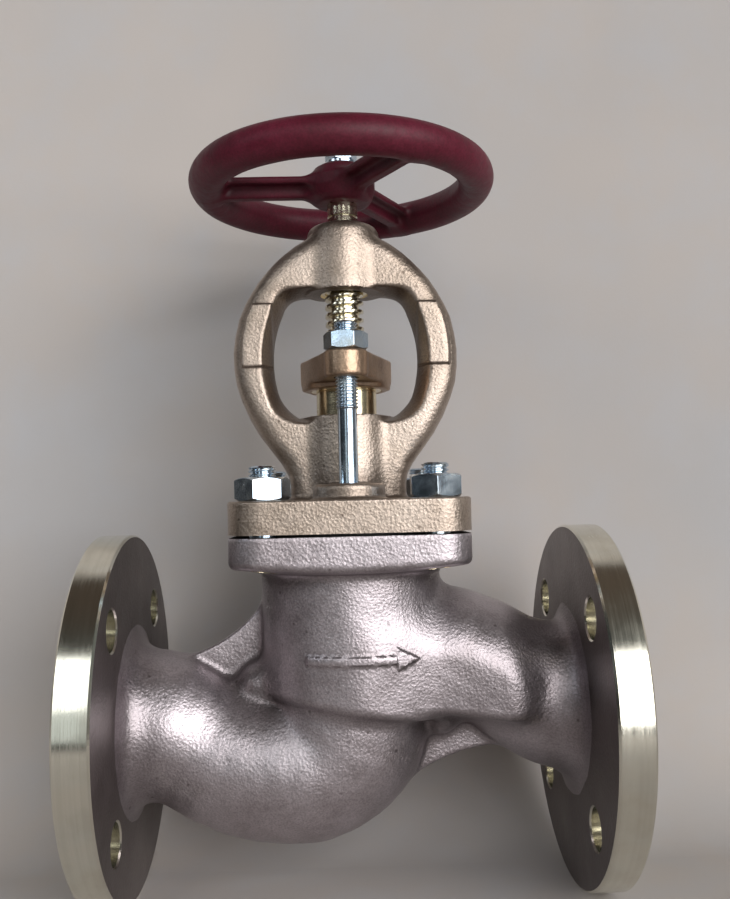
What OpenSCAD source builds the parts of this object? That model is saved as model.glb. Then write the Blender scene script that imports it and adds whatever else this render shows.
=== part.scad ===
// Flanged bronze globe valve, nominal bore 50 mm, outside screw and yoke,
// rising stem and rising handwheel, shown closed.
// X is the pipe axis (inlet at -X, outlet at +X), Z is the stem axis, the front is -Y.
// The origin is the lowest point of the flanges, under the stem axis.

/* [Line flanges] */
// Distance between the two flange faces, along the pipe
face_to_face = 230; // [226:1:236]
// Outside diameter of both line flanges
flange_od = 165; // [160:1:170]
// Thickness of the line flanges
flange_t = 15; // [13:1:18]
// Pitch circle of the line bolts
bolt_pcd = 125; // [120:1:128]
// Diameter of the four line bolt holes
bolt_hole_d = 18; // [14:0.5:20]
// Bore of the flanges
bore_d = 50; // [46:1:52]

/* [Body casting] */
// Outside radius of the upper chamber
chamber_r = 41; // [40:0.5:44]
// Inside radius of the upper chamber
chamber_bore_r = 34; // [33:0.5:35]
// Outside radius of the round bowl below the seat
bowl_r = 36.8; // [36:0.1:38]
// Thickness of the two stiffening webs
web_t = 6; // [4:0.5:9]
// Height of the raised flow arrow
arrow_h = 0.8; // [0.4:0.1:1.5]

/* [Bonnet joint] */
// Half width of the rounded square bonnet joint
joint_half = 51.9; // [50.5:0.1:54]
// Distance of each bonnet stud from the stem axis, along X and along Y
stud_off = 36.9; // [36:0.1:38]
// Underside of the body's bonnet flange, above the pipe axis
joint_z0 = 65.3; // [64:0.1:67]
// Top of the body's bonnet flange, above the pipe axis
joint_z1 = 81.3; // [80.5:0.1:82]
// Thickness of the bonnet gasket
gasket_t = 1.3; // [1:0.1:2]
// Thickness of the bonnet flange
bonnet_t = 14.2; // [13:0.1:16]

/* [Yoke] */
// Outside radius of the round yoke frame
yoke_r = 51.8; // [50.5:0.1:53]
// Half thickness of the yoke frame, front to back
yoke_half_t = 13; // [11:0.5:14]
// Underside of the top bridge, above the pipe axis
bridge_z = 192.5; // [190:0.5:195]
// Top of the yoke boss, above the pipe axis
boss_z = 223.5; // [222:0.5:225]
// Radius of the yoke boss
boss_r = 16.5; // [15:0.5:18]

/* [Stem] */
// Diameter of the stem and of its screw
stem_d = 18; // [17.5:0.1:18.2]
// Diameter of the stem between the yoke and the handwheel
stem_top_d = 14; // [13:0.5:15]
// Running clearance between the stem and its bushes, on the radius
run_clear = 0.05; // [0.02:0.01:0.1]

/* [Gland] */
// Diameter of the stuffing box
box_d = 28; // [27:0.5:29]
// Number of packing rings
packing_n = 4; // [3:1:5]
// Distance of the gland studs from the stem axis
gland_off = 32; // [31:0.5:33]
// Underside of the gland flange, above the pipe axis
gland_z = 147; // [146:0.5:149]

/* [Handwheel] */
// Radius of the rim's centre circle
wheel_r = 62.2; // [58:0.2:70]
// Radius of the rim's round section
rim_r = 8.2; // [7:0.1:9]
// Height of the rim's centre above the pipe axis
wheel_z = 243.1; // [242:0.1:245]
// Number of spokes
spokes = 3; // [3:1:5]

/* [Hidden] */
$fn = 96;
close_fit = 0.02;                // radial gap of threads, yoke bush, screw and pin
easy_fit = 0.03;                 // radial gap of seat ring, back seat bush, packing, disc nut
over = 1;                        // overrun of cuts and overlap of joined parts
eps = 0.001;

// Heights are above the pipe axis
pipe_z = flange_od / 2;          // pipe axis above the origin
face_x = face_to_face / 2;       // flange face
back_x = face_x - flange_t;      // back of the flange
joint_z2 = joint_z1 + gasket_t;  // underside of the bonnet flange
joint_z3 = joint_z2 + bonnet_t;  // top of the bonnet flange
joint_corner_r = 15;
seat_under_z = 3;                // underside of the seat ring and its plate
seat_z = 10;                     // chamber floor, where the seat ring's collar rests
seat_hole_r = 29;
stem_r = stem_d / 2;
box_r = box_d / 2;
bush_hole_r = 13;                // bonnet hole for the back seat bush
bush_floor = 101;                // floor of the stuffing box, under the bush's collar
box_floor = 103;                 // top of the back seat bush, floor of the packing
packing_top = 126;
box_top = 133.5;                 // top of the stuffing box column
gland_boss_z = 103.3;            // top of the bosses that hold the gland studs
gland_rim_t = 3;                 // rim of the gland follower
gland_top = gland_z + 14;
yoke_mid_z = 160;                // centre of the round yoke frame
yoke_bush_hole_r = 11;
screw_r = 2.5;                   // hole of the bush screw
groove_z0 = 26;                  // stem groove that holds the split ring
groove_z1 = 29;
disc_pocket_r = 13.5;
pin_z = 32.5;
pin_hole_r = 1.5;
hub_z0 = 234;
hub_z1 = 252.5;
washer_t = 1.5;
square_half = 5.5;               // half width of the stem's square
tail_r = 3.95;                   // screw at the top end of the stem
stem_top = 263.5;
stud_r = 5.9;                    // M12
gland_stud_r = 4.95;             // M10

bronze = "#93807c";
bronze_tan = "#ad9a84";
bronze_dark = "#705643";
brass = "#c9b583";
zinc = "#a9bac4";
steel = "#b9bcc0";
paint = "#6b2233";

// Spheres hulled into the cast walls and passages: [x, y, z, radius]
inlet_arm = [
    [-92, 0, -4, 34], [-80, 0, -8.3, 33.6], [-59, 0, -19.2, bowl_r - 3.4],
    [-40, 0, -24, bowl_r - 1.6], [-23, 0, -23.8, bowl_r - 0.4],
    [-9, 0, -17, bowl_r - 0.2], [-3, 0, -4, bowl_r + 0.4]];
outlet_arm = [
    [30, -8.5, 28, 26.5], [30, 8.5, 28, 26.5], [61, -6.5, 19.6, 28.3], [61, 6.5, 19.6, 28.3],
    [78, 0, 11, 32.5], [88, 0, 4, 31.8]];
inlet_passage = [
    [-87, 0, -1.5, 25], [-58, 0, -18, 28], [-34, 0, -22.5, 29.5],
    [-12, 0, -18, 30], [-3, 0, -7, 29]];
outlet_passage = [[24, 0, 35, 21.5], [60, 0, 20, 23.3], [88, 0, 1.5, 24]];

// Flow arrow, pointing to the outlet: [x, z]
arrow_outline = [
    [-20, 26.4], [19, 26.4], [19, 25], [28, 28.6], [19, 32.2], [19, 30.8], [-20, 30.8]];

// Left halves of the yoke's foot and of its top shoulders: [x, z]
yoke_foot = [[-27, joint_z3 - over], [-27, 104], [-30.2, 113], [-40.5, 127]];
yoke_shoulders = [[-41.6, 194.5], [-36, 202], [-28.6, 209.5], [-boss_r, 218]];

// Half sections of turned parts: [radius, z]
seat_ring_profile = [
    [25, seat_under_z], [seat_hole_r - easy_fit, seat_under_z],
    [seat_hole_r - easy_fit, seat_z], [32, seat_z], [32, 12.4], [31.4, 13],
    [27.4, 13], [25, 10.6]];
back_seat_profile = [
    [stem_r + run_clear, 94.35], [12.2, 91.2], [bush_hole_r - easy_fit, 91.2],
    [bush_hole_r - easy_fit, bush_floor], [box_r - easy_fit, bush_floor],
    [box_r - easy_fit, box_floor], [stem_r + run_clear, box_floor]];
disc_profile = [
    [0, 8.2], [24.4, 8.2], [24.4, 10.04], [30, 15.64], [30, 20.4], [29.4, 21], [0, 21]];
hub_profile = [
    [0, hub_z0], [12, hub_z0], [14.2, 236.5], [15.4, 241], [15.3, 246], [13, 250.2],
    [9, hub_z1], [0, hub_z1]];

// Closes a half outline with its mirror image across the vertical axis.
function both_sides(half) =
    concat(half, [for (i = [len(half) - 1 : -1 : 0]) [-half[i][0], half[i][1]]]);

// Everything is drawn round the pipe axis and raised by half the flange.
module raised() { translate([0, 0, pipe_z]) children(); }

// Round bar, cone and tube between two heights on the stem axis.
module rod(r, z0, z1) { translate([0, 0, z0]) cylinder(r = r, h = z1 - z0); }
module taper(r0, r1, z0, z1) { translate([0, 0, z0]) cylinder(r1 = r0, r2 = r1, h = z1 - z0); }
module tube(r, hole_r, z0, z1) {
    difference() {
        rod(r, z0, z1);
        rod(hole_r, z0 - over, z1 + over);
    }
}

// Round bar with a 45 degree chamfer at its top.
module chamfered_rod(r, z0, z1, chamfer) {
    rod(r, z0, z1 - chamfer);
    taper(r, r - chamfer, z1 - chamfer, z1);
}

// Cylinder on the pipe axis between two x positions.
module along_x(r, x0, x1) { translate([x0, 0, 0]) rotate([0, 90, 0]) cylinder(r = r, h = x1 - x0); }

// Box centred front to back.
module block(x0, x1, half_y, z0, z1) {
    translate([x0, -half_y, z0]) cube([x1 - x0, 2 * half_y, z1 - z0]);
}

// Outline in x and z, made into a plate centred front to back.
module upright_plate(t) {
    rotate([90, 0, 0]) translate([0, 0, -t / 2]) linear_extrude(t) children();
}

// Flat square plate with round corners.
module rounded_plate(half, r, z0, z1) {
    block(-half, half, half - r, z0, z1);
    block(-half + r, half - r, half, z0, z1);
    for (sx = [-1, 1], sy = [-1, 1])
        translate([sx * (half - r), sy * (half - r), 0]) rod(r, z0, z1);
}

// Hexagon nut, its corners chamfered by cones from both ends.
module hex_nut(across_flats, h, hole_r) {
    end_r = across_flats / 2 - 0.2;
    difference() {
        intersection() {
            cylinder(d = across_flats / cos(30), h = h, $fn = 6);
            cylinder(r1 = end_r + h, r2 = end_r, h = h + eps);
            translate([0, 0, -eps]) cylinder(r1 = end_r + eps, r2 = end_r + h, h = h + eps);
        }
        rod(hole_r, -over, h + over);
    }
}

// The four bonnet studs, the front and back gland studs, and the bush screw at the back.
module at_studs() {
    for (sx = [-1, 1], sy = [-1, 1]) translate([sx * stud_off, sy * stud_off, 0]) children();
}
module at_gland() { for (sy = [-1, 1]) translate([0, sy * gland_off, 0]) children(); }
module at_screw() { translate([0, 10, 207]) rotate([-90, 0, 0]) children(); }

module screw_hole() { at_screw() cylinder(r = screw_r, h = 10); }
module pin_hole() { translate([0, 0, pin_z]) along_x(pin_hole_r, 0, 20); }

module ball(station) {
    translate([station[0], station[1], station[2]]) sphere(r = station[3], $fn = 30);
}

// Hulls three stations at a time, each hull starting from the last station of the one before.
module bend(stations) {
    for (i = [0 : 2 : len(stations) - 3]) hull() for (k = [0 : 2]) ball(stations[i + k]);
}

// Outlet flange, with bolt holes and three V grooves in its face.
module line_flange() {
    groove_depth = 0.6;
    difference() {
        along_x(flange_od / 2, back_x, face_x);
        for (a = [45 : 90 : 315])
            rotate([a, 0, 0]) translate([0, bolt_pcd / 2, 0])
                along_x(bolt_hole_d / 2, back_x - over, face_x + over);
        for (r = [32, 36, 40])
            translate([face_x - groove_depth, 0, 0]) rotate([0, 90, 0])
                rotate_extrude() translate([r - 0.6, 0]) polygon([[0, 1], [0.6, 0], [1.2, 1]]);
    }
}

// Stiffening web: a rectangle in x and z, hollowed by an arc.
module web(corner, size, arc_centre, arc_r) {
    upright_plate(web_t) difference() {
        translate(corner) square(size);
        translate(arc_centre) circle(r = arc_r);
    }
}

// Outside of the cast body.
module body_outer() {
    // arms and bowl, trimmed just inside the flanges
    intersection() {
        union() {
            bend(inlet_arm);
            hull() for (station = outlet_arm) ball(station);
        }
        block(-back_x - over, back_x + over, 60, -90, 110);
    }
    // round necks behind the outlet and inlet flanges
    along_x(31, back_x - 18, back_x + over);
    along_x(34.5, -back_x - over, -back_x + 6);
    for (side = [0, 1]) mirror([side, 0, 0]) line_flange();
    rod(chamber_r, 1, joint_z1 - 2);
    // bonnet flange, the corners bevelled underneath
    bevel_h = 4;
    intersection() {
        rounded_plate(joint_half, joint_corner_r, joint_z0, joint_z1);
        union() {
            taper(46, 76, joint_z0, joint_z0 + bevel_h);
            rod(80, joint_z0 + bevel_h, joint_z1);
        }
    }
    // between the inlet arm and the chamber
    web(corner = [-82, 5], size = [46, 51], arc_centre = [-92, 88], arc_r = 63.6);
    // between the bowl and the outlet arm
    web(corner = [20, -34], size = [55, 34], arc_centre = [73.4, -103.7], arc_r = 86);
    // raised flow arrow on the front of the chamber
    intersection() {
        rotate([90, 0, 0]) linear_extrude(60) polygon(arrow_outline);
        rod(chamber_r + arrow_h, 20, 40);
    }
}

module body() color(bronze) raised() difference() {
    body_outer();
    // inlet port, passage and bowl, kept below the seat plate
    along_x(bore_d / 2, -face_x - over, -86);
    intersection() {
        bend(inlet_passage);
        union() {
            block(-120, -36, 50, -80, 40);
            block(-37, 53, 50, -80, seat_under_z);
        }
    }
    rod(seat_hole_r, -5, seat_z + over);
    // chamber and outlet port
    rod(chamber_bore_r, seat_z, joint_z1 + over);
    bend(outlet_passage);
    along_x(bore_d / 2, 84, face_x + over);
    // tapped holes of the bonnet studs
    at_studs() rod(stud_r + close_fit, joint_z0 - over, joint_z1 + over);
}

module seat_ring() color(brass) raised() rotate_extrude() polygon(seat_ring_profile);

// Outline of the yoke in x and z, its window bounded by two crossing arcs.
module yoke_outline() {
    frame_z0 = 126;
    frame_z1 = 195;
    window_z0 = 132.4;
    difference() {
        union() {
            intersection() {
                translate([0, yoke_mid_z]) circle(r = yoke_r);
                translate([-60, frame_z0]) square([120, frame_z1 - frame_z0]);
            }
            polygon(both_sides(yoke_foot));
            polygon(both_sides(yoke_shoulders));
        }
        intersection() {
            for_left = [-20, 161];
            translate(for_left) circle(r = 58);
            translate([-for_left[0], for_left[1]]) circle(r = 58);
            translate([-60, window_z0]) square([120, bridge_z - window_z0]);
        }
    }
}

module bonnet_outer() {
    rounded_plate(joint_half, joint_corner_r, joint_z2, joint_z3);
    // spigot in the chamber
    rod(chamber_bore_r - 0.1, joint_z1 - 7, joint_z2 + over);
    // stuffing box column and gland stud bosses
    rod(20, joint_z3 - over, box_top);
    at_gland() rod(15.5, joint_z3 - over, gland_boss_z);
    upright_plate(2 * yoke_half_t) yoke_outline();
    chamfered_rod(boss_r, bridge_z, boss_z, 3);
    // blank raised pads on the fronts of the two arms
    for (sx = [-1, 1]) intersection() {
        translate([sx * 42 - 5, -yoke_half_t - 0.8, 158]) cube([10, 3, 28]);
        translate([0, 20, yoke_mid_z]) rotate([90, 0, 0]) cylinder(r = yoke_r - 1.5, h = 60);
    }
}

module bonnet() color(bronze_tan) raised() difference() {
    bonnet_outer();
    // clearance holes of the bonnet studs
    at_studs() rod(6.75, joint_z2 - over, joint_z3 + over);
    // hollow above the disc
    rod(29.5, joint_z1 - 8, joint_z1 - 1);
    taper(29.5, 14, joint_z1 - 1, 90.2);
    // back seat bush hole and stuffing box
    rod(bush_hole_r, 90, bush_floor + over);
    rod(box_r, bush_floor, box_top + 30);
    // yoke bush hole and its screw hole
    rod(yoke_bush_hole_r, bridge_z - over, boss_z + over);
    screw_hole();
    // tapped holes of the gland studs
    at_gland() rod(gland_stud_r + close_fit, 87.5, 105);
}

module bonnet_gasket() color("#3c3d3f") raised()
    tube(43.5, chamber_bore_r + 0.1, joint_z1, joint_z2);

module bonnet_studs() color(zinc) raised() at_studs() chamfered_rod(stud_r, 69, 111.6, 1);

module bonnet_nuts() color(zinc) raised() at_studs()
    translate([0, 0, joint_z3]) rotate(15) hex_nut(21, 10, stud_r + close_fit);

module back_seat_bush() color(brass) raised() rotate_extrude() polygon(back_seat_profile);

module packing_rings() color("#2f3032") raised() {
    pitch = (packing_top - box_floor) / packing_n;
    half_gap = 0.02;
    for (i = [0 : packing_n - 1])
        tube(box_r - easy_fit, stem_r + 0.05,
             box_floor + i * pitch + half_gap, box_floor + (i + 1) * pitch - half_gap);
}

module gland_follower() color(brass) raised() difference() {
    union() {
        rod(box_r - 0.05, packing_top, gland_z + gland_rim_t);
        rod(16.5, gland_z, gland_z + gland_rim_t);
    }
    rod(stem_r + 0.2, packing_top - over, gland_z + gland_rim_t + over);
}

module gland_flange() color(bronze_dark) raised() {
    lobe_z = gland_z + 2.5;
    lobe_y = gland_off + 3.4;
    // right half of the tangent sides between the round middle and the lobes: [x, y]
    sides = [[8.8, -lobe_y], [19.6, -7.6], [19.6, 7.6], [8.8, lobe_y]];
    difference() {
        union() {
            rod(21.1, gland_z, gland_top);
            translate([0, 0, lobe_z]) linear_extrude(gland_top - lobe_z)
                polygon(both_sides(sides));
            at_gland() rod(9.5, lobe_z, gland_top);
        }
        // recess for the follower's rim, stem hole and stud holes
        rod(16.6, gland_z - over, gland_z + gland_rim_t);
        rod(10, gland_z, gland_top + 6);
        at_gland() rod(5.5, gland_z, gland_top + 6);
    }
}

// Studs with a thinner shank between two screwed ends.
module gland_studs() color(zinc) raised() at_gland() {
    rod(gland_stud_r, 88, gland_boss_z);
    rod(4.2, 103, 136.5);
    chamfered_rod(gland_stud_r, 136, 173.6, 0.9);
}

module gland_nuts() color(zinc) raised() at_gland()
    translate([0, 0, gland_top]) rotate(30) hex_nut(17, 7.8, gland_stud_r + close_fit);

module yoke_bush() color(brass) raised() difference() {
    tube(yoke_bush_hole_r - close_fit, stem_r + run_clear, bridge_z, boss_z + 0.3);
    screw_hole();
}

// Headless screw with a hexagon socket.
module bush_screw() color(zinc) raised() at_screw() translate([0, 0, 0.05]) difference() {
    cylinder(r = screw_r - close_fit, h = 5.8);
    translate([0, 0, 3.6]) cylinder(d = 2.8, h = 4, $fn = 6);
}

module stem() color(brass) raised() {
    collar_r = 12;
    difference() {
        union() {
            taper(6.5, stem_r, 20.05, 22.05);
            rod(stem_r, 22, 223.9);
            // collar that meets the back seat when open
            taper(stem_r, collar_r, 67, 70);
            rod(collar_r, 70, 76);
            taper(collar_r, stem_r, 76, 79);
            rod(stem_top_d / 2, 223, hub_z0);
        }
        tube(20, 5.5, groove_z0, groove_z1);
    }
    // square for the handwheel, its corners rounded
    intersection() {
        block(-square_half, square_half, square_half, hub_z0 - over, hub_z1 - 0.2);
        rod(6.95, hub_z0 - over, hub_z1);
    }
    rod(tail_r, hub_z1 - over, stem_top - 0.8);
    taper(tail_r, 3.2, stem_top - 0.8, stem_top);
}

module split_ring() color(steel) raised() difference() {
    tube(12, 5.6, groove_z0 + 0.05, groove_z1 - 0.05);
    block(-20, 20, 0.3, groove_z0 - over, groove_z1 + over);
}

module disc() color(brass) raised() difference() {
    union() {
        rotate_extrude() polygon(disc_profile);
        chamfered_rod(17.2, 20, 36, 0.6);
    }
    rod(disc_pocket_r, 20, 40);
    pin_hole();
}

// Round barrel in the disc's pocket, with a hexagon head above it.
module disc_nut() color(steel) raised() difference() {
    head_z = 36.02;
    head_h = 5.48;
    union() {
        rod(disc_pocket_r - easy_fit, 29.1, 36.05);
        intersection() {
            rod(15, head_z, head_z + head_h);
            translate([0, 0, head_z]) cylinder(d = 27 / cos(30), h = head_h, $fn = 6);
        }
    }
    rod(stem_r + 0.3, 28, 46);
    pin_hole();
}

module disc_pin() color(steel) raised()
    translate([0, 0, pin_z]) along_x(pin_hole_r - close_fit, 9.6, 16.8);

module handwheel() color(paint) raised() difference() {
    hole_half = square_half + 0.05;
    union() {
        translate([0, 0, wheel_z]) rotate_extrude() translate([wheel_r, 0]) circle(r = rim_r);
        rotate_extrude() polygon(hub_profile);
        // T-section spokes: a flat top and a rib below it
        for (i = [0 : spokes - 1]) rotate(180 + i * 360 / spokes) {
            block(8, wheel_r - 3, 8, wheel_z - 0.5, wheel_z + 2.5);
            block(8, wheel_r - 3, 2.8, wheel_z - 5.8, wheel_z + 1.2);
        }
    }
    block(-hole_half, hole_half, hole_half, hub_z0 - over, hub_z1 + over);
}

module handwheel_washer() color(zinc) raised() tube(7.5, 4.1, hub_z1, hub_z1 + washer_t);

module handwheel_nut() color(zinc) raised()
    translate([0, 0, hub_z1 + washer_t]) rotate(8) hex_nut(13, 6.5, tail_r + close_fit);

body();
seat_ring();
bonnet();
bonnet_gasket();
bonnet_studs();
bonnet_nuts();
back_seat_bush();
packing_rings();
gland_follower();
gland_flange();
gland_studs();
gland_nuts();
yoke_bush();
bush_screw();
stem();
split_ring();
disc();
disc_nut();
disc_pin();
handwheel();
handwheel_washer();
handwheel_nut();
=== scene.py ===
# Looks of the flanged globe valve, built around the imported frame.
# Working numbers are in millimetres from the pipe axis (x along the pipe, z up the stem);
# push() turns them into metres in the row frame.
import math

import bpy
import numpy as np
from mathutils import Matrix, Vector

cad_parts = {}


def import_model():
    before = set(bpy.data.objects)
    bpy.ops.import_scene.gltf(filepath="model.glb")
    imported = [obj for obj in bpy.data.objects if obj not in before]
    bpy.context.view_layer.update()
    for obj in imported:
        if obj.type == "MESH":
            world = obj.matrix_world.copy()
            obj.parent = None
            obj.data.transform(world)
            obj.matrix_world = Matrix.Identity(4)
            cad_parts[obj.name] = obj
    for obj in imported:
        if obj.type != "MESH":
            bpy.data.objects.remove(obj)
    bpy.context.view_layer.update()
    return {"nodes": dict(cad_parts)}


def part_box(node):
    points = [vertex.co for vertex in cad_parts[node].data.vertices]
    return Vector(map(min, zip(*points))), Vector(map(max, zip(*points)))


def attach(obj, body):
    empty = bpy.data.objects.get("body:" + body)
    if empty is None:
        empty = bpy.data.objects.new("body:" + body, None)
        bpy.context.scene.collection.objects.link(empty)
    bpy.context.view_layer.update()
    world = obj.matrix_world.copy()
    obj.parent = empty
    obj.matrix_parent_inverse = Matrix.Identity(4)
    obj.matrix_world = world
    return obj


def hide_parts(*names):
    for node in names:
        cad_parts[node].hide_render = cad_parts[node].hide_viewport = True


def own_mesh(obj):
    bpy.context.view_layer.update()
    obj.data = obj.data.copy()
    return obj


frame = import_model()
F = np.float32
lo_b, hi_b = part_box("body")
PZ = (hi_b.y - lo_b.y) * 500.0          # height of the pipe axis, mm
FX = hi_b.x * 1000.0                    # flange face
RF = PZ                                 # flange radius
BX = FX - 15.0                          # back of the flange
PIPE, STEM = "pipe", "stem"

# ---------------------------------------------------------------- distance fields


def smin(a, b, k):
    h = np.maximum(k - np.abs(a - b), 0) / k
    return np.minimum(a, b) - h * h * (k * 0.25)


def smax(a, b, k):
    return -smin(-a, -b, k)


def chain(X, Y, Z, pts, ysc=1.0):
    """Distance to a row of balls joined by cones, in the plane of symmetry."""
    Y2 = (Y * ysc) ** 2
    d = None
    for (x0, z0, r0), (x1, z1, r1) in zip(pts, pts[1:]):
        bx, bz = x1 - x0, z1 - z0
        t = np.clip(((X - x0) * bx + (Z - z0) * bz) / (bx * bx + bz * bz), 0, 1)
        e = np.sqrt((X - x0 - bx * t) ** 2 + Y2 + (Z - z0 - bz * t) ** 2) - (r0 + (r1 - r0) * t)
        d = e if d is None else np.minimum(d, e)
    return d


def rect2(U, V, hu, hv, r):
    """Rounded rectangle."""
    qu, qv = np.abs(U) - (hu - r), np.abs(V) - (hv - r)
    return np.sqrt(np.maximum(qu, 0) ** 2 + np.maximum(qv, 0) ** 2) + np.minimum(np.maximum(qu, qv), 0) - r


def extrude(d2, w, h, r):
    """A flat shape with distance d2, thickened to |w| <= h, with its edges rounded by r."""
    a, b = d2 + r, np.abs(w) - h + r
    return np.minimum(np.maximum(a, b), 0) + np.sqrt(np.maximum(a, 0) ** 2 + np.maximum(b, 0) ** 2) - r


def wavy(X, Y, Z, amp):
    """The slow unevenness of a sand mould."""
    return amp * (
        np.sin(X * 0.23 + 1.1) * np.sin(Y * 0.19 + 0.4) * np.sin(Z * 0.21 + 2.0)
        + 0.2 * np.sin(X * 0.47 + Z * 0.31 + 0.7) * np.sin(Y * 0.43 - Z * 0.29 + 1.9)
    )


def ramp(v, a, b):
    t = np.clip((v - a) / (b - a), 0, 1)
    return t * t * (3 - 2 * t)


# ---------------------------------------------------------------- outside of the body

IN_PTS = [(-107, -2, 33), (-92, -4.2, 33.6), (-86, -5.8, 33.6), (-80, -8.3, 32.8), (-73, -11.8, 31.9), (-66, -15.8, 32.0), (-59, -19.2, 32.9), (-49, -22.4, 34.1),
          (-40, -23.9, 34.9), (-30, -24, 35.9), (-22, -23.6, 36.4), (-15, -21.2, 36.2), (-8.7, -16.9, 36.5), (-4.4, -11.3, 37.0), (-3, -4, 37.3)]
OUT_PTS = [(30, 30, 25), (46, 26.4, 26.6), (52, 23.7, 26.9), (61, 19.5, 27.5), (71, 14.7, 28.3), (77, 11.3, 29.6), (82, 8.6, 30.6), (88, 5.2, 31.2), (94, 2.6, 31.7), (107, 0, 32)]
BLOCK_PTS = [(8, 25.5, 28.0), (46, 26.2, 26.6), (61, 19.6, 27.4), (71, 14.9, 28.2), (80, 10.2, 29.6)]
TAPS = (((-4, 1 / 9), (-2, 2 / 9), (0, 3 / 9), (2, 2 / 9), (4, 1 / 9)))


def soft_chain(X, Y, Z, pts, dx=1.0, dz=0.0, ysc=1.0):
    """The same row of balls with the creases on the inner side of its bends blended away."""
    d = 0
    for t, w in TAPS:
        d = d + w * chain(X + t * dx, Y, Z + t * dz, pts, ysc)
    return d


def arrow2(X, Z):
    bar = rect2(X + 0.5, Z - 28.2, 19.5, 1.8, 0.4)
    head = np.maximum(np.maximum(19 - X, (X - 28.5) * 0.45 + np.abs(Z - 28.2) * 0.9), -(X - 18.5))
    return np.minimum(bar, head)


def sd_body(X, Y, Z):
    inlet = soft_chain(X, Y, Z, IN_PTS, 0.9, 0.45)
    zb = 6.3 - 0.115 * X
    r = np.sqrt(X * X + Y * Y)
    cham = smax(smax(r - 41, Z - 74, 1), (zb - Z) * 0.993, 3.5)
    zc = 25.8 - np.clip(X - 46, 0, 40) * 0.46
    blk = soft_chain(X, Y, np.where(Z < zc, zc + (Z - zc) * 0.28, Z), BLOCK_PTS, ysc=0.79)
    blk = smax(smax(blk, (zb - Z) * 0.993, 4.5), X - 78.5, 13)
    up = smin(cham, blk, 11)
    up = smin(up, soft_chain(X, Y, Z, OUT_PTS), 8)
    d = smin(inlet, up, 6.5)
    # fillets behind the corners between arm and chamber
    d = smin(d, np.sqrt((X + 44) ** 2 + (Y * 0.55) ** 2 + (Z - 15) ** 2) - 8.5, 9)
    d = smin(d, np.sqrt((X - 40) ** 2 + (Y * 0.4) ** 2 + (Z + 5) ** 2) - 7.0, 8)
    # webs in the plane of symmetry
    w1 = np.maximum(63.6 - np.sqrt((X + 92) ** 2 + (Z - 88) ** 2), np.maximum(X + 36, 4 - Z))
    w2 = np.maximum(86 - np.sqrt((X - 73.4) ** 2 + (Z + 103.7) ** 2), np.maximum(X - 76, Z - 4))
    w2 = np.maximum(w2, 18 - X)
    d = smin(d, extrude(w1, Y, 3.1, 1.4), 3.5)
    d = smin(d, extrude(w2, Y, 3.1, 1.4), 3.5)
    # line flanges, only to root the arms in a fillet
    rf = np.sqrt(Y * Y + Z * Z)
    plate = np.maximum(rf - (RF - 3), np.maximum(np.abs(X) - (FX - 1), (BX + 0.3) - np.abs(X)))
    d = smin(d, plate, 14)
    d = np.maximum(d, np.minimum(np.abs(X) - (BX - 3), rf - 54))
    d = np.maximum(d, np.abs(X) - (BX + 4))
    # bonnet flange, thinning towards its corners
    sq = rect2(X, Y, 51.9, 51.9, 15)
    zu = 65.3 + np.maximum(r - 45, 0) * 0.14
    t = smax(zu - Z, Z - 83, 1)
    fl = smax(sq, t, 3.2)
    d = smin(d, fl, 4)
    d = d - wavy(X, Y, Z, 0.13)
    # raised flow arrow
    a = np.maximum(arrow2(X, Z), Y + 12)
    rel = smax(d - 0.95, a, 0.8)
    return smin(d, rel, 0.9)


# inside of the body: passage, bowl, chamber outlet
def sd_passage(X, Y, Z):
    a = chain(X, Y, Z, [(-103, 0, 24.8), (-87, -1.5, 25.2), (-58, -18, 28), (-34, -22.5, 29.5), (-12, -18, 30), (-3, -7, 29)])
    a = smax(a, Z - np.where(X < -36, 60, 3).astype(F), 3)
    b = chain(X, Y, Z, [(22, 35, 21.5), (60, 20, 23.3), (88, 1.5, 24.2), (103, 0, 24.8)])
    return np.minimum(a, b)


# ---------------------------------------------------------------- bonnet and yoke

YO = np.array([(96, 27), (103.5, 26.8), (108, 27.6), (113, 30.2), (120, 35.4), (127, 40.5), (135, 45.0), (143, 48.4), (150, 50.6), (157, 51.5), (165, 51.6),
               (172, 50.8), (180, 49.0), (187, 45.9), (192, 43.2), (197, 39.9), (202, 35.7), (206, 32.0), (209.5, 28.2), (213, 23.6), (216, 18.8), (219, 13)], float)


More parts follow.
